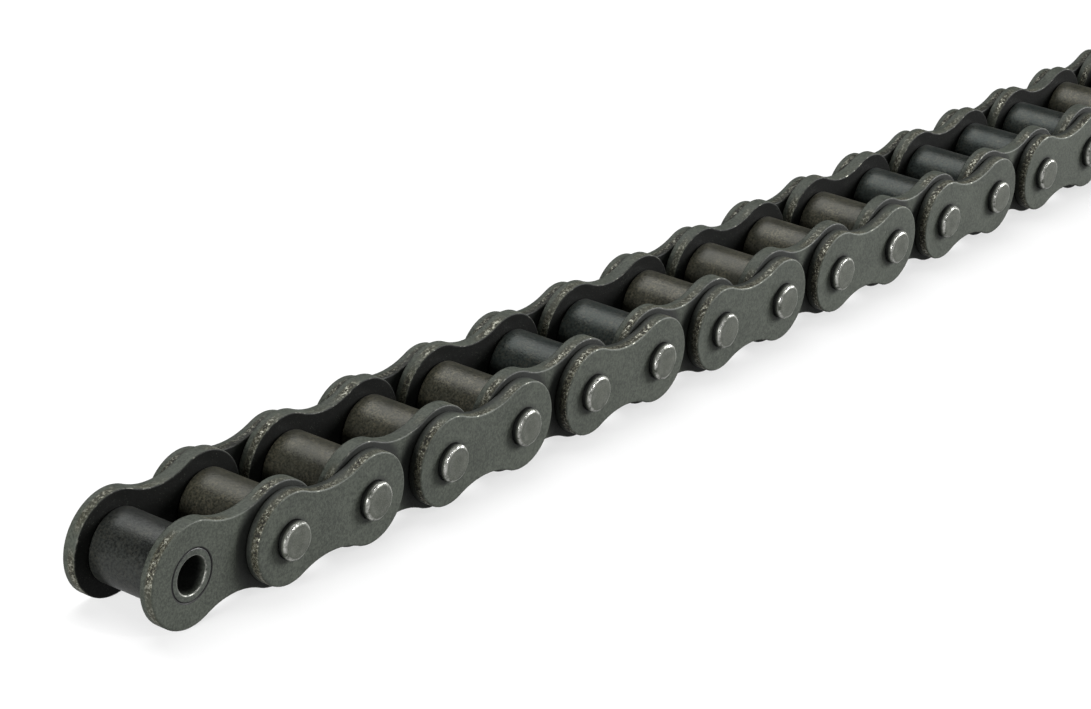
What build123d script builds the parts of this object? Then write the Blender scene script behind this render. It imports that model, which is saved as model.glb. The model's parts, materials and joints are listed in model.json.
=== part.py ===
"""Single-strand roller chain, 3/4 inch pitch: nine inner links joined by eight outer links.

Frame: millimetres, +X along the chain, +Y along the pins, +Z up.
The origin is on the floor under the middle of the chain, which stands on the edges of its inner plates.
Shaft axes are numbered 1..18 along +X. An inner link holds axes 1-2, 3-4, ... in its two bushes,
and an outer link holds axes 2-3, 4-5, ... with its two pins.
"""

import os

from build123d import *

# ---- driving dimensions ----
pitch = 19.05
inner_link_count = 9

roller_diameter = 11.91
inner_gap = 12.70  # between the two plates of an inner link
plate_thickness = 2.42

inner_plate_height = 17.1
inner_waist_height = 12.8  # narrowest height, half way between the bushes
outer_plate_height = 15.1
outer_waist_height = 11.0

pin_diameter = 5.96
pin_overhang = 1.45  # how far a riveted pin end stands out of its outer plate
rivet_spread = 0.16  # extra radius of the riveted end
rivet_land = 0.75  # length of the spread part
rivet_chamfer = 0.30

bush_wall = 1.20
bush_chamfer = 0.30
roller_corner = 0.55
roller_bore_chamfer = 0.35
plate_edge = 0.40  # rounded rim on the face that looks outwards
plate_inner_edge = 0.15  # small break on the hidden face

# ---- fits ----
pin_clearance = 0.04  # radial, pin in bush
roller_clearance = 0.06  # radial, roller on bush
roller_end_clearance = 0.12  # roller to inner plate, each side
link_side_clearance = 0.13  # inner plate to outer plate, each side
rivet_gap = 0.02  # under the spread pin end

# ---- sizes that follow ----
shaft_count = 2 * inner_link_count
outer_link_count = inner_link_count - 1
bush_bore_radius = pin_diameter / 2 + pin_clearance
bush_radius = bush_bore_radius + bush_wall
roller_bore_radius = bush_radius + roller_clearance
roller_length = inner_gap - 2 * roller_end_clearance
inner_link_width = inner_gap + 2 * plate_thickness
outer_gap = inner_link_width + 2 * link_side_clearance
outer_link_width = outer_gap + 2 * plate_thickness
pin_half_length = outer_link_width / 2 + pin_overhang
shaft_height = inner_plate_height / 2


def shaft_x(number):
    """Place of a shaft axis along the chain."""
    return (number - (shaft_count + 1) / 2) * pitch


def cross_plane(x, y):
    """Plane across the pins at station y, its normal along +Y, its origin on the shaft height."""
    return Plane(origin=(x, y, shaft_height), x_dir=(-1, 0, 0), z_dir=(0, 1, 0))


def waist_radius(plate_height, waist_height):
    """Radius of the hollow arc that joins the two round ends tangentially and passes the waist."""
    end = plate_height / 2
    waist = waist_height / 2
    return ((pitch / 2) ** 2 + waist**2 - end**2) / (2 * (end - waist))


def plate(x_middle, y_low, plate_height, waist_height, hole_radius, outer_face_up):
    """Figure-eight link plate with two holes, lying between y_low and y_low + plate_thickness."""
    end = plate_height / 2
    hollow = waist_radius(plate_height, waist_height)
    hollow_centre = waist_height / 2 + hollow
    touch = end / (end + hollow)  # share of the way from the end's centre to the hollow's centre
    touch_x = pitch / 2 * (1 - touch)
    touch_z = hollow_centre * touch
    with BuildPart() as body:
        with BuildSketch(cross_plane(x_middle, y_low)):
            with BuildLine():
                ThreePointArc((touch_x, touch_z), (pitch / 2 + end, 0), (touch_x, -touch_z))
                ThreePointArc((touch_x, -touch_z), (0, -waist_height / 2), (-touch_x, -touch_z))
                ThreePointArc((-touch_x, -touch_z), (-pitch / 2 - end, 0), (-touch_x, touch_z))
                ThreePointArc((-touch_x, touch_z), (0, waist_height / 2), (touch_x, touch_z))
            make_face()
            with Locations((pitch / 2, 0), (-pitch / 2, 0)):
                Circle(hole_radius, mode=Mode.SUBTRACT)
        extrude(amount=plate_thickness)
        faces_by_y = body.faces().filter_by(Axis.Y).sort_by(Axis.Y)
        low_rim = faces_by_y[0].outer_wire().edges()
        high_rim = faces_by_y[-1].outer_wire().edges()
        fillet(high_rim if outer_face_up else low_rim, plate_edge)
        fillet(low_rim if outer_face_up else high_rim, plate_inner_edge)
    return body.part


def tube(x, length, radius, bore_radius, end_chamfer, bore_chamfer):
    """Tube along Y, centred on y = 0, with broken end edges."""
    with BuildPart() as body:
        with BuildSketch(cross_plane(x, -length / 2)):
            Circle(radius)
            Circle(bore_radius, mode=Mode.SUBTRACT)
        extrude(amount=length)
        ends = body.faces().filter_by(Axis.Y)
        chamfer([end.outer_wire().edge() for end in ends], end_chamfer)
        ends = body.faces().filter_by(Axis.Y)
        chamfer([end.inner_wires()[0].edge() for end in ends], bore_chamfer)
    return body.part


def riveted_pin(x):
    """Pin along Y; both ends are spread where they stand out of the outer plates."""
    radius = pin_diameter / 2
    head_radius = radius + rivet_spread
    face_radius = head_radius - rivet_chamfer
    head_end = pin_half_length
    head_edge = head_end - rivet_chamfer
    head_start = head_end - rivet_land
    neck_start = outer_link_width / 2 + rivet_gap
    with BuildPart() as body:
        with BuildSketch(Plane(origin=(x, 0, shaft_height), x_dir=(1, 0, 0), z_dir=(0, 0, 1))):
            with BuildLine():
                Polyline(
                    (0, -head_end),
                    (face_radius, -head_end),
                    (head_radius, -head_edge),
                    (head_radius, -head_start),
                    (radius, -neck_start),
                    (radius, neck_start),
                    (head_radius, head_start),
                    (head_radius, head_edge),
                    (face_radius, head_end),
                    (0, head_end),
                    close=True,
                )
            make_face()
        revolve(axis=Axis((x, 0, shaft_height), (0, 1, 0)))
    return body.part


def inner_link(number):
    """Two plates pressed on two bushes, with a free roller on each bush."""
    shafts = (2 * number - 1, 2 * number)
    middle = (shaft_x(shafts[0]) + shaft_x(shafts[1])) / 2
    profile = (inner_plate_height, inner_waist_height, bush_radius)
    with BuildPart() as inner_plates:
        add(plate(middle, -inner_link_width / 2, *profile, outer_face_up=False))
        add(plate(middle, inner_gap / 2, *profile, outer_face_up=True))
    inner_plates.part.label = f"inner_plates_{number:02d}"
    export_step(inner_plates.part, f"parts/inner_plates_{number:02d}.step")

    with BuildPart() as bushes:
        for shaft in shafts:
            ends = (bush_chamfer, bush_chamfer)
            add(tube(shaft_x(shaft), inner_link_width, bush_radius, bush_bore_radius, *ends))
    bushes.part.label = f"bushes_{number:02d}"
    export_step(bushes.part, f"parts/bushes_{number:02d}.step")

    for shaft in shafts:
        with BuildPart() as roller:
            ends = (roller_corner, roller_bore_chamfer)
            add(tube(shaft_x(shaft), roller_length, roller_diameter / 2, roller_bore_radius, *ends))
        roller.part.label = f"roller_{shaft:02d}"
        export_step(roller.part, f"parts/roller_{shaft:02d}.step")


def outer_link(number):
    """Two plates pressed on two pins, outside the inner links."""
    shafts = (2 * number, 2 * number + 1)
    middle = (shaft_x(shafts[0]) + shaft_x(shafts[1])) / 2
    profile = (outer_plate_height, outer_waist_height, pin_diameter / 2)
    with BuildPart() as near_plate:
        add(plate(middle, -outer_link_width / 2, *profile, outer_face_up=False))
    near_plate.part.label = f"outer_plate_near_{number:02d}"
    export_step(near_plate.part, f"parts/outer_plate_near_{number:02d}.step")

    with BuildPart() as far_plate:
        add(plate(middle, outer_gap / 2, *profile, outer_face_up=True))
    far_plate.part.label = f"outer_plate_far_{number:02d}"
    export_step(far_plate.part, f"parts/outer_plate_far_{number:02d}.step")

    with BuildPart() as pins:
        for shaft in shafts:
            add(riveted_pin(shaft_x(shaft)))
    pins.part.label = f"pins_{number:02d}"
    export_step(pins.part, f"parts/pins_{number:02d}.step")


os.makedirs("parts", exist_ok=True)

for link_number in range(1, inner_link_count + 1):
    inner_link(link_number)

for link_number in range(1, outer_link_count + 1):
    outer_link(link_number)
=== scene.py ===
# %% [markdown]
# # A roller chain in blackened steel
#
# A roller chain is two kinds of link, one after the other. An inner link is two figure-eight plates
# pressed on two bushes, and a roller turns freely on each bush. An outer link is two more plates
# pressed on two pins, and its pins turn inside the bushes of its neighbours.
#
# The engineering model comes first and stays fixed: it says where every piece is and which body it
# moves with. This lesson builds a finer mesh for each piece in the same place, and paints it.

import json
import math

import bmesh
import bpy
from mathutils import Matrix, Vector, noise


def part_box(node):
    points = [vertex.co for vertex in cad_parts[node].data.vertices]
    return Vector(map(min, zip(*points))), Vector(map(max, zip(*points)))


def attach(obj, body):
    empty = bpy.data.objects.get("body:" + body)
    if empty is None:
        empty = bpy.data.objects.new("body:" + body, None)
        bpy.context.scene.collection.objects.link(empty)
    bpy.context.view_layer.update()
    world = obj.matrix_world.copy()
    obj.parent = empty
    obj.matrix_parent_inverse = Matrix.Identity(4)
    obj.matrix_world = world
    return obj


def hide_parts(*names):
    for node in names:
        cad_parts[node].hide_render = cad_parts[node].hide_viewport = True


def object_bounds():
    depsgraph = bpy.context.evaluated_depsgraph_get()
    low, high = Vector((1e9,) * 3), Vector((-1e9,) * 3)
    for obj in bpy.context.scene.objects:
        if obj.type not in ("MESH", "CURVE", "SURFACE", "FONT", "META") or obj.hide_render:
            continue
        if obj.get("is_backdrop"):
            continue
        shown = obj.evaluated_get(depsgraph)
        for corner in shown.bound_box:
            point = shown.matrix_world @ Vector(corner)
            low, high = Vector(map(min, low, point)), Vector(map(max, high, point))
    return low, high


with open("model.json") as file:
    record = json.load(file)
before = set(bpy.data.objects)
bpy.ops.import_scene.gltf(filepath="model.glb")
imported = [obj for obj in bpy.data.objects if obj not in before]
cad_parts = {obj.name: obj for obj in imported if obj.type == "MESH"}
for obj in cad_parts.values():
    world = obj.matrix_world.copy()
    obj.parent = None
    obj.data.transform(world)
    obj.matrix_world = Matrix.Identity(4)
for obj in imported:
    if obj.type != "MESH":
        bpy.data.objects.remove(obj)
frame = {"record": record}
cad_low, cad_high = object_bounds()
record = frame["record"]
bodies = record["behaviour"]["bodies"]
inner_links = sorted(name for name in bodies if name.startswith("inner_link"))
outer_links = sorted(name for name in bodies if name.startswith("outer_link"))
free_rollers = sorted(name for name in bodies if name.startswith("free_roller"))
print(len(inner_links), "inner links,", len(outer_links), "outer links,", len(free_rollers), "rollers")

# %% [markdown]
# Every size comes from the frame. The distance between two neighbouring rollers is the pitch, the one
# number that a chain is sold by, and the shafts lie in a straight row half a plate height above the
# floor. A few sizes that the boxes can't tell, such as the bush wall or a plate's waist, are named here.

# %% Read the sizes
MM = 0.001


def middle(node):
    """Centre of a CAD node's box."""
    low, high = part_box(node)
    return (low + high) / 2


def extent(node):
    """Size of a CAD node's box."""
    low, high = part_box(node)
    return high - low


pitch = middle("roller_02").x - middle("roller_01").x
shaft_z = middle("roller_01").z
first_shaft_x = middle("roller_01").x
roller_radius = extent("roller_01").z / 2
roller_length = extent("roller_01").y
inner_height = extent("inner_plates_01").z
inner_width = extent("inner_plates_01").y
outer_height = extent("outer_plate_near_01").z
plate_thickness = extent("outer_plate_near_01").y
outer_width = 2 * abs(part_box("outer_plate_near_01")[0].y)
pin_length = extent("pins_01").y
pin_head_radius = extent("pins_01").z / 2
bush_radius = extent("bushes_01").z / 2

bush_wall = 1.20 * MM
pin_play = 0.04 * MM
roller_play = 0.06 * MM
bush_bore = bush_radius - bush_wall
pin_radius = bush_bore - pin_play
roller_bore = bush_radius + roller_play
inner_waist = 12.8 * MM
outer_waist = 11.0 * MM
print("pitch", round(pitch / MM, 3), "mm")
print("plates", round(inner_height / MM, 2), "and", round(outer_height / MM, 2), "mm high")


def shaft(number):
    """Where a shaft axis stands along the chain. Shaft 1 is the open end."""
    return first_shaft_x + (number - 1) * pitch


# %% [markdown]
# ## The camera
#
# The chain runs away from the viewer to the upper right, seen with a long lens from the left and a
# little above. A long lens keeps the far links nearly as large as the near ones. The camera's place is
# told in pitches, so that it follows the chain if the chain is made larger. It is counted from a point
# one pitch before the open end, where a shaft 0 would be.

# %% Camera
camera_from_shaft_zero = Vector((-16.400, -15.849, 11.724))
camera_azimuth = math.radians(54.819)
camera_elevation = math.radians(22.821)
camera_roll = math.radians(3.92)
lens_mm = 112.685609
sensor_mm = 36.0

camera_data = bpy.data.cameras.new("camera")
camera = bpy.data.objects.new("camera", camera_data)
bpy.context.scene.collection.objects.link(camera)
look = Vector(
    (
        math.sin(camera_azimuth) * math.cos(camera_elevation),
        math.cos(camera_azimuth) * math.cos(camera_elevation),
        -math.sin(camera_elevation),
    )
)
level_right = look.cross(Vector((0, 0, 1))).normalized()
level_up = level_right.cross(look)
right = math.cos(camera_roll) * level_right + math.sin(camera_roll) * level_up
up = math.cos(camera_roll) * level_up - math.sin(camera_roll) * level_right
turn = Matrix((right, up, -look)).transposed().to_4x4()
place = Vector((shaft(0), 0, shaft_z)) + camera_from_shaft_zero * pitch
camera.matrix_world = Matrix.Translation(place) @ turn
camera_data.sensor_width = sensor_mm
camera_data.lens = lens_mm
camera_data.clip_start = 0.01
camera_data.clip_end = 20
bpy.context.scene.camera = camera
print("camera at", [round(v, 3) for v in place], "lens", round(camera_data.lens, 1), "mm")

# %% [markdown]
# ## The outline of a link plate
#
# A plate is punched from strip. Its outline is two round ends joined by two hollow arcs that meet the
# ends smoothly. Sampling the arcs evenly by length keeps the mesh's squares alike all round, which
# matters because the rim gets real roughness later.

# %% Outline of a plate


def outline(height, waist, spacing):
    """Points (x, z) and outward normals round a figure-eight plate, counter-clockwise."""
    end = height / 2
    half = pitch / 2
    hollow = (half**2 + (waist / 2) ** 2 - end**2) / (2 * (end - waist / 2))
    hollow_z = waist / 2 + hollow
    # direction from the right end's centre to the upper hollow's centre
    meet = math.atan2(hollow_z, -half)
    around_end = max(8, round(2 * meet * end / spacing))
    sweep = 2 * (meet - math.pi / 2)
    around_hollow = max(6, round(sweep * hollow / spacing))
    points = []
    for side in (0, 1):
        flip = 1 if side == 0 else -1
        for i in range(around_end):
            a = -meet + 2 * meet * i / around_end
            normal = (math.cos(a) * flip, math.sin(a) * flip)
            points.append(((half * flip + end * normal[0], end * normal[1]), normal))
        start = meet - math.pi
        for i in range(around_hollow):
            a = start - sweep * i / around_hollow
            away = (math.cos(a) * flip, math.sin(a) * flip)
            points.append(((hollow * away[0], hollow_z * flip + hollow * away[1]), (-away[0], -away[1])))
    return points


rim_spacing = 0.42 * MM
print(len(outline(inner_height, inner_waist, rim_spacing)), "points round an inner plate")

# %% [markdown]
# ## From outline to plate
#
# Punching leaves a rim with two bands: a smooth one on the side where the punch entered, and a rough
# torn one towards the side where it came out. Tumbling rounds the sharp edges afterwards, the outward
# one a little more. The rim is a list of rings, one for each step through the thickness, each told as
# how far it lies in from the outline, its depth, and how much it is an edge.

# %% Steps through the rim
face_round = 0.30 * MM
back_round = 0.22 * MM
flat_in = 0.12 * MM  # width of the strip of face that the rim's mesh takes with it
quarter = [math.radians(a) for a in (0, 18, 36, 54, 72, 90)]
band_rings = 9
band_start = 0.24  # share of the thickness
band_step = 0.075  # share of the thickness

rim_steps = []
for a in quarter:
    rim_steps.append((face_round * (1 - math.sin(a)), face_round * (1 - math.cos(a)), math.sin(2 * a) ** 4))
for step in range(band_rings):
    share = band_start + band_step * step
    rim_steps.append((0, share * plate_thickness, 0))
for a in quarter[1::2]:
    depth = plate_thickness - back_round * (1 - math.sin(a))
    rim_steps.append((back_round * (1 - math.cos(a)), depth, math.sin(2 * a) ** 4))
print(len(rim_steps), "rings through the rim")

# %% [markdown]
# The torn band is pushed in and out by noise: real relief, so that it catches the light from any side.
# A second, wider noise makes some stretches more torn than others, and the round ends tear more than
# the waists do. Every plate lies in the chain with its torn side to -Y.

# %% Torn band
tear_depth = 0.045 * MM
tear_scale = 1 / (0.60 * MM)
stretch_scale = 0.11  # the wider noise, as a share of the tear's scale
plate_offset = 3e3  # carries each row of plates to its own part of the noise
# shares of the thickness, counted from the side where the punch came out
torn_start = 0.03
torn_end = 0.62
torn_fade_in = 0.08
torn_fade_out = 0.12


def torn_amount(share, outward):
    """How torn the rim can be at a share of its depth, from 0 to 1."""
    from_exit = share if outward < 0 else 1 - share
    if from_exit < torn_start or from_exit > torn_end:
        return 0.0
    return min(1.0, (from_exit - torn_start) / torn_fade_in, (torn_end - from_exit) / torn_fade_out)


def tear(spot, torn, roughness, slope):
    """How torn one place is, and how far that moves it. slope is the X part of the rim's normal."""
    stretch = noise.noise(spot * stretch_scale)
    round_end = abs(slope) - 0.6
    local = torn * min(1.0, max(0.0, roughness + 1.2 * stretch + 0.9 * round_end))
    bumps = noise.noise(spot) + 0.6 * noise.noise(spot * 2.3) - 0.35
    return local, local * tear_depth * bumps


print("tears up to", round(tear_depth / MM, 3), "mm deep")

# %% [markdown]
# Every mesh here is built from rings of points, with squares between one ring and the next. That keeps
# the faces even, and leaves no gap. Each finished piece then rides on its body, and the pieces of the
# engineering model that it stands for are hidden.

# %% Mesh helpers


def new_piece(name, mesh_data, body, nodes, materials):
    """Object for a finished mesh, riding on its body and standing for its CAD nodes."""
    piece = bpy.data.objects.new(name, mesh_data)
    bpy.context.scene.collection.objects.link(piece)
    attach(piece, body)
    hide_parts(*nodes)
    for material in materials:
        mesh_data.materials.append(material)
    return piece


def close_mesh(bm, name):
    """Turn a bmesh into smooth-shaded mesh data with its normals outward."""
    bmesh.ops.recalc_face_normals(bm, faces=bm.faces)
    for face in bm.faces:
        face.smooth = True
    data = bpy.data.meshes.new(name)
    bm.to_mesh(data)
    bm.free()
    return data


def bridge(bm, ring, next_ring):
    """Squares between two rings that have the same number of points."""
    count = len(ring)
    for i in range(count):
        j = (i + 1) % count
        bm.faces.new((ring[i], ring[j], next_ring[j], next_ring[i]))


def cap_flat(bm, rings):
    """Fill the flat area between one outer ring and the holes in it."""
    edges = []
    for ring in rings:
        for i, vertex in enumerate(ring):
            edges.append(bm.edges.get((vertex, ring[(i + 1) % len(ring)])))
    bmesh.ops.triangle_fill(bm, use_beauty=True, use_dissolve=False, edges=edges)


print("mesh helpers ready")

# %% [markdown]
# A plate joins the rim's rings, the rings of two holes, and two flat faces. Three numbers are stored on
# each point for the paint: how much it lies on an edge (less than 0 in the seam round a hole, where shade
# is painted), how deep it lies under the outward face, and how torn it is.

# %% Plate mesh
hole_break = 0.20 * MM
hole_points = 80


def hole_rings(put, centre, hole):
    """Rings of points down one hole, from the outward face to the back. put makes one point."""
    # edges below 0 paint shade into the seam round the hole and down its wall
    steps = (
        (hole_break + flat_in, 0, 0),
        (hole_break, 0, -0.5),
        (hole_break * 0.3, hole_break * 0.3, -1),
        (0, hole_break, -1),
        (0, plate_thickness - hole_break, -1),
        (hole_break, plate_thickness, -1),
        (hole_break + flat_in, plate_thickness, 0),
    )
    rings = []
    for out, depth, edge in steps:
        radius = hole + out
        ring = []
        for i in range(hole_points):
            a = math.tau * i / hole_points
            ring.append(put(centre + radius * math.cos(a), radius * math.sin(a), depth, edge))
        rings.append(ring)
    return rings


def plate_mesh(name, x_middle, y_face, outward, height, waist, hole, roughness):
    """A punched plate. y_face is its outward face, and outward is -1 or +1 along Y."""
    bm = bmesh.new()
    edge_layer = bm.verts.layers.float.new("edge")
    depth_layer = bm.verts.layers.float.new("depth")
    torn_layer = bm.verts.layers.float.new("torn")

    def put(x, z, depth, edge, torn=0.0):
        vertex = bm.verts.new((x_middle + x, y_face - outward * depth, shaft_z + z))
        vertex[edge_layer] = edge
        vertex[depth_layer] = depth / plate_thickness
        vertex[torn_layer] = torn
        return vertex

    curve = outline(height, waist, rim_spacing)
    steps = [(face_round + flat_in, 0, 0), *rim_steps, (back_round + flat_in, plate_thickness, 0)]
    rings = []
    for inset, depth, edge in steps:
        inside_rim = 0 < depth < plate_thickness
        torn = torn_amount(depth / plate_thickness, outward) if inside_rim else 0.0
        through = y_face * plate_offset + depth * tear_scale * 0.5
        ring = []
        for (x, z), (nx, nz) in curve:
            local, push = 0.0, 0.0
            if torn:
                spot = Vector(((x_middle + x) * tear_scale, through, z * tear_scale))
                local, push = tear(spot, torn, roughness, nx)
            reach = -inset + push
            ring.append(put(x + nx * reach, z + nz * reach, depth, edge, local))
        rings.append(ring)
    for ring, next_ring in zip(rings, rings[1:]):
        bridge(bm, ring, next_ring)

    face_rings = [rings[0]]
    back_rings = [rings[-1]]
    for centre in (-pitch / 2, pitch / 2):
        down = hole_rings(put, centre, hole)
        for ring, next_ring in zip(down, down[1:]):
            bridge(bm, ring, next_ring)
        face_rings.append(down[0])
        back_rings.append(down[-1])
    cap_flat(bm, face_rings)
    cap_flat(bm, back_rings)
    return close_mesh(bm, name)


print(hole_points, "points round a hole")

# %% [markdown]
# ## Turned pieces
#
# Rollers, bushes and pins are all round, so one helper turns a profile about the shaft axis. The
# profile is a list of points, each a distance along the shaft, a radius and an edge amount. A pin has
# no bore, so its profile starts and ends on the axis. Noise dents the worked ends of a pin a little.

# %% Turning helper
dent_scale = 1 / (1.1 * MM)


def turned_mesh(name, x, profile, segments, closed, dents=0.0):
    """Turn (y, radius, edge) points about the shaft at x. A closed profile is a tube."""
    bm = bmesh.new()
    edge_layer = bm.verts.layers.float.new("edge")
    depth_layer = bm.verts.layers.float.new("depth")
    torn_layer = bm.verts.layers.float.new("torn")
    rings = []
    for y, radius, edge in profile:
        count = segments if radius > 0 else 1
        ring = []
        for i in range(count):
            a = math.tau * i / segments
            across = radius * math.cos(a)
            high = radius * math.sin(a)
            if dents and edge > 0:
                dent = dents * edge * noise.noise(Vector((x + across, y, high)) * dent_scale)
                across += dent * math.cos(a)
                high += dent * math.sin(a)
            vertex = bm.verts.new((x + across, y, shaft_z + high))
            vertex[edge_layer] = edge
            vertex[depth_layer] = 0.0
            vertex[torn_layer] = 0.0
            ring.append(vertex)
        rings.append(ring)
    pairs = list(zip(rings, rings[1:]))
    if closed:
        pairs.append((rings[-1], rings[0]))
    for ring, next_ring in pairs:
        if len(ring) == 1:
            for i in range(segments):
                bm.faces.new((ring[0], next_ring[(i + 1) % segments], next_ring[i]))
        elif len(next_ring) == 1:
            for i in range(segments):
                bm.faces.new((ring[i], ring[(i + 1) % segments], next_ring[0]))
        else:
            bridge(bm, ring, next_ring)
    return close_mesh(bm, name)


def corner(y, radius, size, toward, inside=False, steps=4, seam=False):
    """Points of a rounded corner at an end face. toward is +1 at the +Y end; inside is a bore's."""
    points = []
    for i in range(steps + 1):
        a = math.pi / 2 * i / steps
        drop = size * (1 - math.sin(a))
        back = size * (1 - math.cos(a))
        level = radius + drop if inside else radius - drop
        edge = -1.0 if seam and i > 0 else math.sin(2 * a) ** 2
        points.append((y - toward * back, level, edge))
    return points


print("one dent is about", round(1 / dent_scale / MM, 1), "mm wide")

# %% [markdown]
# ## Paint helpers
#
# All the steel here is black oxide over ground metal. Effects that more than one finish shares are node
# groups with their own sockets: worn edges, uneven colour, fine specks and rings of painted shade. The
# groups put out masks and values only; the shader stays in the material, where the exporter can read
# it.

# %% Node group helpers


def new_group(name, inputs, outputs):
    """Empty shader node group with float or vector sockets."""
    tree = bpy.data.node_groups.new(name, "ShaderNodeTree")
    for label, kind, default in inputs:
        socket = tree.interface.new_socket(label, in_out="INPUT", socket_type=kind)
        if default is not None:
            socket.default_value = default
    for label, kind in outputs:
        tree.interface.new_socket(label, in_out="OUTPUT", socket_type=kind)
    return tree, tree.nodes.new("NodeGroupInput"), tree.nodes.new("NodeGroupOutput")


def add_node(tree, kind, values=(), **settings):
    """Node with settings and input values; a value that is a socket gets linked."""
    node = tree.nodes.new(kind)
    for key, value in settings.items():
        setattr(node, key, value)
    for key, value in dict(values).items():
        socket = node.inputs[key]
        if isinstance(value, bpy.types.NodeSocket):
            tree.links.new(value, socket)
        else:
            socket.default_value = value
    return node


def maths(tree, operation, a, b=0.0, clamp=False):
    """Result of a Math node."""
    node = add_node(tree, "ShaderNodeMath", {0: a, 1: b}, operation=operation, use_clamp=clamp)
    return node.outputs[0]


def remap(tree, value, low, high, to_low=0.0, to_high=1.0):
    """Stretch a range to another, clamped."""
    values = {"Value": value, "From Min": low, "From Max": high, "To Min": to_low, "To Max": to_high}
    return add_node(tree, "ShaderNodeMapRange", values).outputs["Result"]


def noise_value(tree, vector, scale, detail=3.0, rough=0.55):
    """Factor of a Noise texture."""
    values = {"Vector": vector, "Scale": scale, "Detail": detail, "Roughness": rough}
    return add_node(tree, "ShaderNodeTexNoise", values).outputs[0]


print("node helpers ready")

# %% [markdown]
# **Worn edges.** Handling rubs the oxide off the corners first and leaves bare bright metal. The mesh
# already knows where its corners are, so the group only breaks that mask up with noise.

# %% Worn edge group
tree, given, result = new_group(
    "worn_edge",
    [
        ("Vector", "NodeSocketVector", None),
        ("Edge", "NodeSocketFloat", 0.0),
        ("Scale", "NodeSocketFloat", 900.0),
        ("Wear", "NodeSocketFloat", 0.5),
    ],
    [("Mask", "NodeSocketFloat")],
)
broken = noise_value(tree, given.outputs["Vector"], given.outputs["Scale"], 4.0, 0.65)
lifted = maths(tree, "ADD", broken, maths(tree, "SUBTRACT", given.outputs["Wear"], 1.0))
chipped = remap(tree, lifted, -0.08, 0.12)
mask = maths(tree, "MULTIPLY", given.outputs["Edge"], chipped, clamp=True)
tree.links.new(mask, result.inputs["Mask"])
worn_edge = tree
print("group", worn_edge.name)

# %% [markdown]
# **Uneven colour.** Oxide takes unevenly: cloudy patches some millimetres across, with a finer mottle
# on top. One value from 0 to 1 carries both.

# %% Cloudy colour group
tree, given, result = new_group(
    "cloudy",
    [
        ("Vector", "NodeSocketVector", None),
        ("Scale", "NodeSocketFloat", 120.0),
        ("Fine", "NodeSocketFloat", 4.0),
    ],
    [("Value", "NodeSocketFloat")],
)
broad = noise_value(tree, given.outputs["Vector"], given.outputs["Scale"], 3.0)
fine_scale = maths(tree, "MULTIPLY", given.outputs["Scale"], 22.0)
fine = noise_value(tree, given.outputs["Vector"], fine_scale, 4.0, 0.7)
shifted = maths(tree, "MULTIPLY", maths(tree, "SUBTRACT", fine, 0.5), given.outputs["Fine"])
total = maths(tree, "ADD", remap(tree, broad, 0.3, 0.7, 0.3, 0.7), shifted, clamp=True)
tree.links.new(total, result.inputs["Value"])
cloudy = tree
print("group", cloudy.name)

# %% [markdown]
# **Specks.** Dust and rust freckles are small spots of one size. Voronoi cells give one spot each, and
# a second noise decides where they crowd together.

# %% Speck group
tree, given, result = new_group(
    "specks",
    [
        ("Vector", "NodeSocketVector", None),
        ("Scale", "NodeSocketFloat", 2500.0),
        ("Amount", "NodeSocketFloat", 0.5),
    ],
    [("Mask", "NodeSocketFloat")],
)
cells = add_node(
    tree, "ShaderNodeTexVoronoi", {"Vector": given.outputs["Vector"], "Scale": given.outputs["Scale"]}
)
crowd_scale = maths(tree, "MULTIPLY", given.outputs["Scale"], 0.12)
crowd = noise_value(tree, given.outputs["Vector"], crowd_scale, 2.0)
limit = maths(tree, "MULTIPLY", given.outputs["Amount"], remap(tree, crowd, 0.35, 0.7, 0.25, 1.0))
spot = maths(tree, "LESS_THAN", cells.outputs["Distance"], limit)
tree.links.new(spot, result.inputs["Mask"])
specks = tree
print("group", specks.name)

# %% [markdown]
# ** Painted shade.** A dark ring is painted where shade falls beside a part that stands out: round the end
# of an outer plate, on the inner plate in the slot beside it, and round a pin on the outer plate. Both
# rings lie about a shaft, so the group measures the distance from the nearest one. The end shafts carry
# no outer link.

# %% Painted shade ring group
tree, given, result = new_group(
    "shade_ring",
    [
        ("Vector", "NodeSocketVector", None),
        ("Inner", "NodeSocketFloat", 0.007),
        ("Outer", "NodeSocketFloat", 0.009),
    ],
    [("Mask", "NodeSocketFloat")],
)
split = add_node(tree, "ShaderNodeSeparateXYZ", {"Vector": given.outputs["Vector"]})
along = maths(tree, "SUBTRACT", split.outputs["X"], shaft(0.5))
cell = maths(tree, "FRACT", maths(tree, "DIVIDE", along, pitch))
across = maths(tree, "MULTIPLY", maths(tree, "SUBTRACT", cell, 0.5), pitch)
upward = maths(tree, "SUBTRACT", split.outputs["Z"], shaft_z)
across_squared = maths(tree, "MULTIPLY", across, across)
upward_squared = maths(tree, "MULTIPLY", upward, upward)
distance = maths(tree, "SQRT", maths(tree, "ADD", across_squared, upward_squared))
values = {
    "Value": distance,
    "From Min": given.outputs["Inner"],
    "From Max": given.outputs["Outer"],
    "To Min": 1.0,
    "To Max": 0.0,
}
ring = add_node(tree, "ShaderNodeMapRange", values, interpolation_type="SMOOTHSTEP").outputs["Result"]
last_linked = shaft(len(free_rollers) - 0.5)
inside = maths(tree, "LESS_THAN", maths(tree, "ABSOLUTE", split.outputs["X"]), last_linked)
tree.links.new(maths(tree, "MULTIPLY", ring, inside), result.inputs["Mask"])
shade_ring = tree
print("group", shade_ring.name)

# %% [markdown]
# ## The steel
#
# Each finish is a Principled shader fed by the groups. Black oxide is a thin matt skin, so it is mostly
# non-metal with a dull gloss; where it is worn, a mask moves the colour, roughness and metal amount to
# those of bare steel. First come the small tools.

# %% Material helpers
# a Mix node has sockets for every kind of data, and these are the ones for colour
mix_first = 6
mix_second = 7
mix_result = 2


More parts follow.
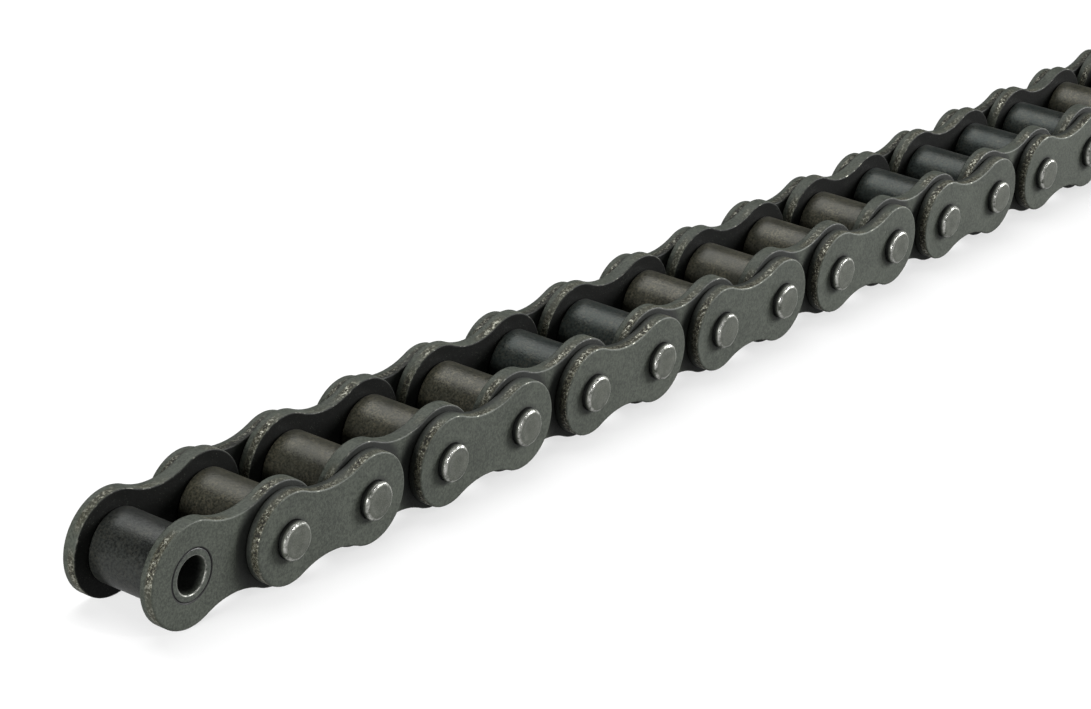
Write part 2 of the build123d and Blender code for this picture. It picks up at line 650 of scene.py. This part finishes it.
def use_group(tree, group, **values):
    """Place a node group in a material; values are sockets or numbers."""
    node = tree.nodes.new("ShaderNodeGroup")
    node.node_tree = group
    for key, value in values.items():
        if isinstance(value, bpy.types.NodeSocket):
            tree.links.new(value, node.inputs[key])
        else:
            node.inputs[key].default_value = value
    return node.outputs[0]


def attribute(tree, name):
    """A number stored on the mesh's points."""
    return add_node(tree, "ShaderNodeAttribute", attribute_name=name).outputs["Fac"]


def blend_colour(tree, factor, a, b):
    """Mix two colours; each is a tuple or a socket."""
    node = tree.nodes.new("ShaderNodeMix")
    node.data_type = "RGBA"
    for index, value in ((mix_first, a), (mix_second, b)):
        if isinstance(value, bpy.types.NodeSocket):
            tree.links.new(value, node.inputs[index])
        else:
            node.inputs[index].default_value = (*value, 1.0)
    tree.links.new(factor, node.inputs[0])
    return node.outputs[mix_result]


print("material helpers ready")

# %% [markdown]
# Some finishes have more on them than oxide and wear, and each extra is a function that takes the colour
# so far and gives it back changed. A torn rim is dark in its pits and glints on its crystals. The hidden
# back of a plate is painted nearly black as shade. Shade is also painted in rings on the outward face, and
# at the root of anything that stands out along Y.

# %% Layers
# colour of painted shade, used for the rings and at roots
shade_colour = (0.006, 0.007, 0.006)
patch_scale = 200.0
freckle_scale = 2600.0
crystal_scale = 1900.0
crystal_rise = 5.0  # how much higher the torn crystals stand than the grain of the skin
torn_cover = 0.95  # how much of the oxide's colour the torn one hides
pit_shade = 0.06  # a pit's colour, as a share of the torn colour
# share of gloss that the painted shade on a plate's back takes away
back_gloss_loss = 0.6


def stained(tree, place, colour, stain):
    """Freckled patches of stain."""
    patches = remap(tree, noise_value(tree, place, patch_scale, 5.0, 0.7), 0.38, 0.60)
    freckles = remap(tree, noise_value(tree, place, freckle_scale, 3.0, 0.65), 0.44, 0.60)
    return blend_colour(tree, maths(tree, "MULTIPLY", patches, freckles), colour, stain)


def torn_rim(tree, place, colour, bare, relief, torn):
    """Torn steel where the mesh says so: returns the new colour, bare mask and relief."""
    torn_mask = attribute(tree, "torn")
    crystals = noise_value(tree, place, crystal_scale, 3.0, 0.7)
    colour = blend_colour(tree, maths(tree, "MULTIPLY", torn_mask, torn_cover), colour, torn)
    pits = maths(tree, "MULTIPLY", remap(tree, crystals, 0.44, 0.53, 1.0, 0.0), torn_mask)
    pit_colour = tuple(c * pit_shade for c in torn)
    colour = blend_colour(tree, maths(tree, "MULTIPLY", pits, torn_cover), colour, pit_colour)
    glints = maths(tree, "MULTIPLY", remap(tree, crystals, 0.545, 0.60), torn_mask)
    bare = maths(tree, "MAXIMUM", bare, glints)
    rise = maths(tree, "MULTIPLY", crystals, maths(tree, "MULTIPLY", torn_mask, crystal_rise))
    return colour, bare, maths(tree, "ADD", relief, rise)


def shaded_back(tree, shader, colour, shade, gloss):
    """Painted shade on the hidden back of a plate: a dark colour with little gloss."""
    back = remap(tree, attribute(tree, "depth"), 0.93, 0.99)
    kept = maths(tree, "SUBTRACT", 1.0, maths(tree, "MULTIPLY", back, back_gloss_loss))
    tree.links.new(maths(tree, "MULTIPLY", kept, gloss), shader.inputs["Specular IOR Level"])
    return blend_colour(tree, back, colour, shade)


def ring_shaded(tree, place, colour, inner, outer, strength):
    """A ring of painted shade about each shaft, on the outward face only."""
    ring = use_group(tree, shade_ring, Vector=place, Inner=inner, Outer=outer)
    on_face = remap(tree, attribute(tree, "depth"), 0.0, 0.12, strength, 0.0)
    return blend_colour(tree, maths(tree, "MULTIPLY", ring, on_face), colour, shade_colour)


def root_shaded(tree, place, colour, bare, low, high, strength):
    """Painted shade nearer the chain's middle plane than low, gone at high: returns colour and bare mask.
    """
    split = add_node(tree, "ShaderNodeSeparateXYZ", {"Vector": place})
    height = maths(tree, "ABSOLUTE", split.outputs["Y"])
    foot = maths(tree, "MULTIPLY", remap(tree, height, low, high, 1.0, 0.0), strength)
    unshaded = maths(tree, "SUBTRACT", 1.0, foot)
    return blend_colour(tree, foot, colour, shade_colour), maths(tree, "MULTIPLY", bare, unshaded)


print("layers ready")

# %% [markdown]
# One function then builds every finish. dark and light are the oxide's two tones, and worn is the colour
# of bare metal. Roughness and metal amount follow the same masks as the colour, and a fine bump gives
# the surface its grain.

# %% Steel
bare_metal = 1.0
seam_and_bore_shade = (0.006, 0.006, 0.006)
speck_scale = 2600.0
speck_cover = 0.3
speck_shade = 1.8  # a speck's colour, as a share of the light oxide
rough_swing = 0.12  # how far the clouds move the roughness, from end to end
coarse_grain = 1100.0
coarse_share = 0.8
fine_grain = 3600.0
grain_strength = 0.5
relief_depth = 0.06 * MM


def steel(
    name,
    dark,
    light,
    worn,
    stain=None,
    torn=None,
    base_rough=0.5,
    wear=0.5,
    metal=0.1,
    worn_rough=0.27,
    cloud_scale=110.0,
    speck_amount=0.2,
    back_shade=None,
    gloss=0.5,
    ring_shade=None,
    root=None,
):
    """A blackened steel finish."""
    material = bpy.data.materials.new(name)
    material.use_nodes = True
    tree = material.node_tree
    shader = tree.nodes["Principled BSDF"]
    shader.inputs["Specular IOR Level"].default_value = gloss
    place = add_node(tree, "ShaderNodeTexCoord").outputs["Object"]
    edge = attribute(tree, "edge")

    clouds = use_group(tree, cloudy, Vector=place, Scale=cloud_scale)
    colour = blend_colour(tree, clouds, dark, light)
    bare = use_group(tree, worn_edge, Vector=place, Edge=edge, Wear=wear)
    coarse = maths(tree, "MULTIPLY", noise_value(tree, place, coarse_grain, 2.0), coarse_share)
    relief = maths(tree, "ADD", noise_value(tree, place, fine_grain, 3.0, 0.6), coarse)
    if stain:
        colour = stained(tree, place, colour, stain)
    if torn:
        colour, bare, relief = torn_rim(tree, place, colour, bare, relief, torn)
    # painted shade on the hidden back of a plate
    if back_shade:
        colour = shaded_back(tree, shader, colour, tuple(c * back_shade for c in dark), gloss)
    spots = use_group(tree, specks, Vector=place, Scale=speck_scale, Amount=speck_amount)
    spot_colour = tuple(c * speck_shade for c in light)
    colour = blend_colour(tree, maths(tree, "MULTIPLY", spots, speck_cover), colour, spot_colour)
    # painted shade in rings beside the outer plates' ends and round the pins
    if ring_shade:
        colour = ring_shaded(tree, place, colour, *ring_shade)
    # painted shade at the root of anything that stands out along Y
    if root:
        colour, bare = root_shaded(tree, place, colour, bare, *root)
    colour = blend_colour(tree, bare, colour, worn)
    # painted shade in the seam round each hole and bush, and down the bush's bore
    seam = remap(tree, edge, -0.6, 0.0, 1.0, 0.0)
    colour = blend_colour(tree, seam, colour, seam_and_bore_shade)
    tree.links.new(colour, shader.inputs["Base Color"])

    swing = maths(tree, "MULTIPLY", clouds, rough_swing)
    rough = maths(tree, "ADD", base_rough - rough_swing / 2, swing)
    polish = maths(tree, "MULTIPLY", bare, base_rough - worn_rough)
    tree.links.new(maths(tree, "SUBTRACT", rough, polish, clamp=True), shader.inputs["Roughness"])
    more_metal = maths(tree, "MULTIPLY", bare, bare_metal - metal)
    tree.links.new(maths(tree, "ADD", metal, more_metal), shader.inputs["Metallic"])
    values = {"Height": relief, "Strength": grain_strength, "Distance": relief_depth}
    bump = add_node(tree, "ShaderNodeBump", values)
    tree.links.new(bump.outputs["Normal"], shader.inputs["Normal"])
    return material


print("steel ready")

# %% [markdown]
# Both kinds of plate have the same oxide, and differ in where painted shade lies. Rollers run against a
# sprocket's teeth and get rubbed to a smoother, more metallic surface. Some are browner than others, and
# the one at the open end is a plain grey.

# %% Finishes
plate_oxide = {
    "dark": (0.034, 0.039, 0.031),
    "light": (0.080, 0.090, 0.072),
    "worn": (0.34, 0.34, 0.29),
    "torn": (0.095, 0.092, 0.060),
    "base_rough": 0.58,
    "wear": 0.37,
    # how dark the painted shade on a plate's back is, as a share of the dark oxide
    "back_shade": 0.07,
    "gloss": 0.36,
}
outer_end = outer_height / 2
plate_face = outer_width / 2
pin_face = pin_length / 2
inner_plate_steel = steel(
    "inner_plate_black_oxide",
    **plate_oxide,
    # painted shade on the inner plate, in the slot beside each outer plate's end
    ring_shade=(outer_end + 1.0 * MM, outer_end + 3.2 * MM, 0.93),
)
outer_plate_steel = steel(
    "outer_plate_black_oxide",
    **plate_oxide,
    # painted shade round each pin
    ring_shade=(pin_head_radius, pin_head_radius + 1.0 * MM, 0.6),
    # painted shade on the half of the rim nearer the inner plate, and on the back
    root=(plate_face - 1.9 * MM, plate_face - 0.9 * MM, 0.75),
)
roller_blue = steel(
    "roller_blue_black",
    dark=(0.0105, 0.0138, 0.0128),
    light=(0.033, 0.043, 0.039),
    worn=(0.30, 0.30, 0.28),
    stain=(0.055, 0.057, 0.046),
    base_rough=0.34,
    wear=0.35,
    metal=0.5,
    speck_amount=0.12,
)
roller_grey = steel(
    "roller_grey_black",
    dark=(0.012, 0.0135, 0.0125),
    light=(0.038, 0.042, 0.038),
    worn=(0.30, 0.30, 0.28),
    stain=(0.055, 0.056, 0.047),
    base_rough=0.34,
    wear=0.35,
    metal=0.5,
    speck_amount=0.12,
)
roller_brown = steel(
    "roller_brown_worn",
    dark=(0.018, 0.018, 0.012),
    light=(0.052, 0.052, 0.037),
    worn=(0.30, 0.28, 0.22),
    stain=(0.095, 0.088, 0.060),
    base_rough=0.36,
    wear=0.4,
    metal=0.35,
    speck_amount=0.2,
)
bush_steel = steel(
    "bush_steel",
    dark=(0.024, 0.029, 0.023),
    light=(0.070, 0.079, 0.064),
    worn=(0.50, 0.50, 0.46),
    base_rough=0.46,
    wear=0.55,
    speck_amount=0.15,
)
pin_steel = steel(
    "pin_steel",
    dark=(0.034, 0.038, 0.030),
    light=(0.120, 0.128, 0.105),
    worn=(0.66, 0.66, 0.62),
    base_rough=0.48,
    wear=0.54,
    metal=0.15,
    worn_rough=0.20,
    cloud_scale=600.0,
    speck_amount=0.22,
    gloss=0.4,
    # painted shade on the pin's side next to the plate
    root=(pin_face - 0.95 * MM, pin_face - 0.45 * MM, 1.0),
)
print("finishes:", [m.name for m in bpy.data.materials])

# %% [markdown]
# ## Make the links
#
# Now the pieces go where the frame says. An inner link is two plates and the two bushes pressed in them.
# A plate needs its middle, its outward face and the side it looks to. A bush's ends are flush with the
# plates, and the seam round it is where the plate's hole begins.

# %% Inner links
inner_plate_tear = 0.50
bush_corner = 0.20 * MM
bush_lip = 0.28 * MM
bush_segments = 80


def bush_profile():
    """Outline of a bush, from its outside to its bore. Shade is painted in the seam at its outside and down
    the bore away from its ends.
    """
    half = inner_width / 2
    profile = corner(-half, bush_radius, bush_corner, -1, seam=True)
    profile += corner(half, bush_radius, bush_corner, 1, seam=True)[::-1]
    profile += corner(half, bush_bore, bush_lip, 1, inside=True)
    profile += [(half * 0.85, bush_bore, -0.5), (-half * 0.85, bush_bore, -0.5)]
    profile += corner(-half, bush_bore, bush_lip, -1, inside=True)[::-1]
    return profile


for index, link in enumerate(inner_links):
    tag = link[-2:]
    first = 2 * index + 1
    x_middle = (shaft(first) + shaft(first + 1)) / 2
    for side, outward in (("near", -1), ("far", 1)):
        name = f"inner_plate_{side}_{tag}"
        y_face = outward * inner_width / 2
        shape = (outward, inner_height, inner_waist, bush_radius, inner_plate_tear)
        mesh = plate_mesh(name, x_middle, y_face, *shape)
        new_piece(name, mesh, link, [f"inner_plates_{tag}"], [inner_plate_steel])
    for number in (first, first + 1):
        name = f"bush_{number:02d}"
        mesh = turned_mesh(name, shaft(number), bush_profile(), bush_segments, closed=True)
        new_piece(name, mesh, link, [f"bushes_{tag}"], [bush_steel])
print("inner plates and bushes made")

# %% [markdown]
# An outer link is two plates and two pins. A pin's end is struck after it is put in, which spreads it
# just beyond the plate and rounds its edge. Both ends are alike, so the outline is told for one half and
# mirrored. The small dents that the striking leaves are real relief, so they show from any side.

# %% Outer links
outer_plate_tear = 1.10
pin_rounding = 0.62 * MM
pin_spread_length = 0.80 * MM
pin_neck_gap = 0.03 * MM
pin_dents = 0.20 * MM
pin_segments = 64


def pin_profile():
    """Outline of a pin from its +Y end to its -Y end, starting and ending on the axis."""
    end = pin_length / 2
    neck = outer_width / 2 + pin_neck_gap
    face = [(end, 0.0, 0.0), (end, pin_radius * 0.35, 0.0), (end, pin_radius * 0.65, 0.05)]
    head = corner(end, pin_head_radius, pin_rounding, 1, steps=7)
    flank = [(end - pin_spread_length, pin_head_radius, 0.1), (neck, pin_radius, 0.0)]
    high = face + head + flank
    low = [(-y, radius, edge) for y, radius, edge in high][::-1]
    return high + low


for index, link in enumerate(outer_links):
    tag = link[-2:]
    first = 2 * index + 2
    x_middle = (shaft(first) + shaft(first + 1)) / 2
    for side, outward in (("near", -1), ("far", 1)):
        name = f"outer_plate_skin_{side}_{tag}"
        y_face = outward * outer_width / 2
        shape = (outward, outer_height, outer_waist, pin_radius, outer_plate_tear)
        mesh = plate_mesh(name, x_middle, y_face, *shape)
        new_piece(name, mesh, link, [f"outer_plate_{side}_{tag}"], [outer_plate_steel])
    for number in (first, first + 1):
        name = f"pin_{number:02d}"
        profile = pin_profile()
        mesh = turned_mesh(name, shaft(number), profile, pin_segments, closed=False, dents=pin_dents)
        new_piece(name, mesh, link, [f"pins_{tag}"], [pin_steel])
print("outer plates and pins made")

# %% [markdown]
# A roller is a plain ring with rounded corners, free on its bush, so it rides on a body of its own. The
# rollers differ in tone along the chain, so each one's paint is looked up by its number.

# %% Rollers
roller_corner = 0.5 * MM
roller_bore_corner = 0.3 * MM
roller_segments = 96
grey_rollers = (1,)
brown_rollers = (2, 3, 4, 5, 8, 9, 10, 11, 16, 17)


def roller_paint(number):
    """Finish of one roller."""
    if number in grey_rollers:
        return roller_grey
    return roller_brown if number in brown_rollers else roller_blue


def roller_profile():
    """Outline of a roller, from its outside to its bore."""
    half = roller_length / 2
    profile = corner(-half, roller_radius, roller_corner, -1)
    profile += [(y, roller_radius, 0.0) for y in (-half * 0.5, 0.0, half * 0.5)]
    profile += corner(half, roller_radius, roller_corner, 1)[::-1]
    profile += corner(half, roller_bore, roller_bore_corner, 1, inside=True)
    profile += corner(-half, roller_bore, roller_bore_corner, -1, inside=True)[::-1]
    return profile


for body in free_rollers:
    number = int(body[-2:])
    name = f"roller_skin_{number:02d}"
    mesh = turned_mesh(name, shaft(number), roller_profile(), roller_segments, closed=True)
    new_piece(name, mesh, body, [f"roller_{number:02d}"], [roller_paint(number)])
print(len(free_rollers), "rollers made")

# %% [markdown]
# ## Floor and light
#
# The chain stands on a white sheet that is half clear. Its open parts come out as white as the world
# behind it, a shadow on it shows softly, and a link that swings below it is still seen through it. Away
# from the chain the sheet fades out, so that it has no edge.

# %% Floor
reach = 1.0
floor_drop = 0.05 * MM  # keeps the sheet clear of the plates' edges
sheet_amount = 0.55
sheet_glow = 0.42
fade_start = 0.10  # distances from the chain's axis
fade_end = 0.40

floor_data = bpy.data.meshes.new("floor")
corners = [(-reach, -reach, 0), (reach, -reach, 0), (reach, reach, 0), (-reach, reach, 0)]
floor_data.from_pydata(corners, [], [(0, 1, 2, 3)])
floor = bpy.data.objects.new("floor", floor_data)
bpy.context.scene.collection.objects.link(floor)
floor.location.z = -floor_drop
floor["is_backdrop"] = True
floor_paint = bpy.data.materials.new("floor_white")
floor_paint.use_nodes = True
tree = floor_paint.node_tree
floor_shader = tree.nodes["Principled BSDF"]
floor_shader.inputs["Base Color"].default_value = (0.9, 0.9, 0.9, 1.0)
floor_shader.inputs["Roughness"].default_value = 0.9
floor_shader.inputs["Specular IOR Level"].default_value = 0.0
floor_shader.inputs["Emission Color"].default_value = (1.0, 1.0, 1.0, 1.0)
floor_shader.inputs["Emission Strength"].default_value = sheet_glow

ground = add_node(tree, "ShaderNodeTexCoord").outputs["Object"]
spot = add_node(tree, "ShaderNodeSeparateXYZ", {"Vector": ground})
from_middle = maths(tree, "ABSOLUTE", spot.outputs["X"])
beyond = maths(tree, "MAXIMUM", maths(tree, "SUBTRACT", from_middle, shaft(len(free_rollers))), 0.0)
beyond_squared = maths(tree, "MULTIPLY", beyond, beyond)
aside_squared = maths(tree, "MULTIPLY", spot.outputs["Y"], spot.outputs["Y"])
away = maths(tree, "SQRT", maths(tree, "ADD", beyond_squared, aside_squared))
sheet = remap(tree, away, fade_start, fade_end, sheet_amount, 0.0)
tree.links.new(sheet, floor_shader.inputs["Alpha"])
floor.visible_diffuse = False
floor_data.materials.append(floor_paint)
print("floor ready")

# %% [markdown]
# The room is white where the viewer looks at it and dim everywhere else, so that it adds hardly any
# light of its own.

# %% World
scene = bpy.context.scene
scene.view_settings.view_transform = "Standard"
world = bpy.data.worlds.new("studio")
world.use_nodes = True
tree = world.node_tree
background = tree.nodes["Background"]
seen = add_node(tree, "ShaderNodeLightPath").outputs["Is Camera Ray"]
backdrop = (1.0, 1.0, 1.0)
dim_room = (0.055, 0.057, 0.059)
tree.links.new(blend_colour(tree, seen, dim_room, backdrop), background.inputs["Color"])
scene.world = world
print("world ready")

# %% [markdown]
# Dark metal shows its form by what it mirrors, so each lamp has a job. The key, from the right, lights
# the outward faces. It leaves the floor out, since it would wash away the shadows there. The top lamp
# draws a bright band along the rollers, the left one lights the rims that face the open end, and two
# small ones put glints on the pins.

# %% Lamps


def softbox(name, place, aim, size, watts):
    """Square area lamp that looks at a point."""
    lamp_data = bpy.data.lights.new(name, "AREA")
    lamp_data.shape = "SQUARE"
    lamp_data.size = size
    lamp_data.energy = watts
    lamp = bpy.data.objects.new(name, lamp_data)
    scene.collection.objects.link(lamp)
    lamp.location = place
    lamp.rotation_mode = "QUATERNION"
    lamp.rotation_quaternion = (Vector(aim) - Vector(place)).to_track_quat("-Z", "Y")
    return lamp


lit_shaft = 7  # a third of the way along the chain
aim = Vector((shaft(lit_shaft), 0, shaft_z))
softbox("top", aim + Vector((0.10, 0.30, 0.75)), aim, size=0.70, watts=4.6)
key = softbox("key", aim + Vector((1.70, -1.20, 0.70)), aim, size=0.90, watts=70.0)
softbox("left", aim + Vector((-1.30, -0.10, 0.26)), aim, size=0.50, watts=15.0)
softbox("glint_low", aim + Vector((-0.37, -0.72, 0.26)), aim, size=0.05, watts=0.8)
softbox("glint_high", aim + Vector((0.0, -0.66, 0.52)), aim, size=0.05, watts=0.7)
off_key = bpy.data.collections.new("off_key")
off_key.objects.link(floor)
key.light_linking.receiver_collection = off_key
off_key.collection_objects[0].light_linking.link_state = "EXCLUDE"

# %% [markdown]
# ## Finish
#
# The boxes of the CAD model and of this visual model are printed side by side, to show whether the finer
# meshes outgrew the engineering model.

# %% Sizes and finish
look_low, look_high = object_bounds()
sizes = {"cad": [list(cad_low), list(cad_high)], "visual": [list(look_low), list(look_high)]}
print("cad", sizes["cad"], "visual", sizes["visual"])
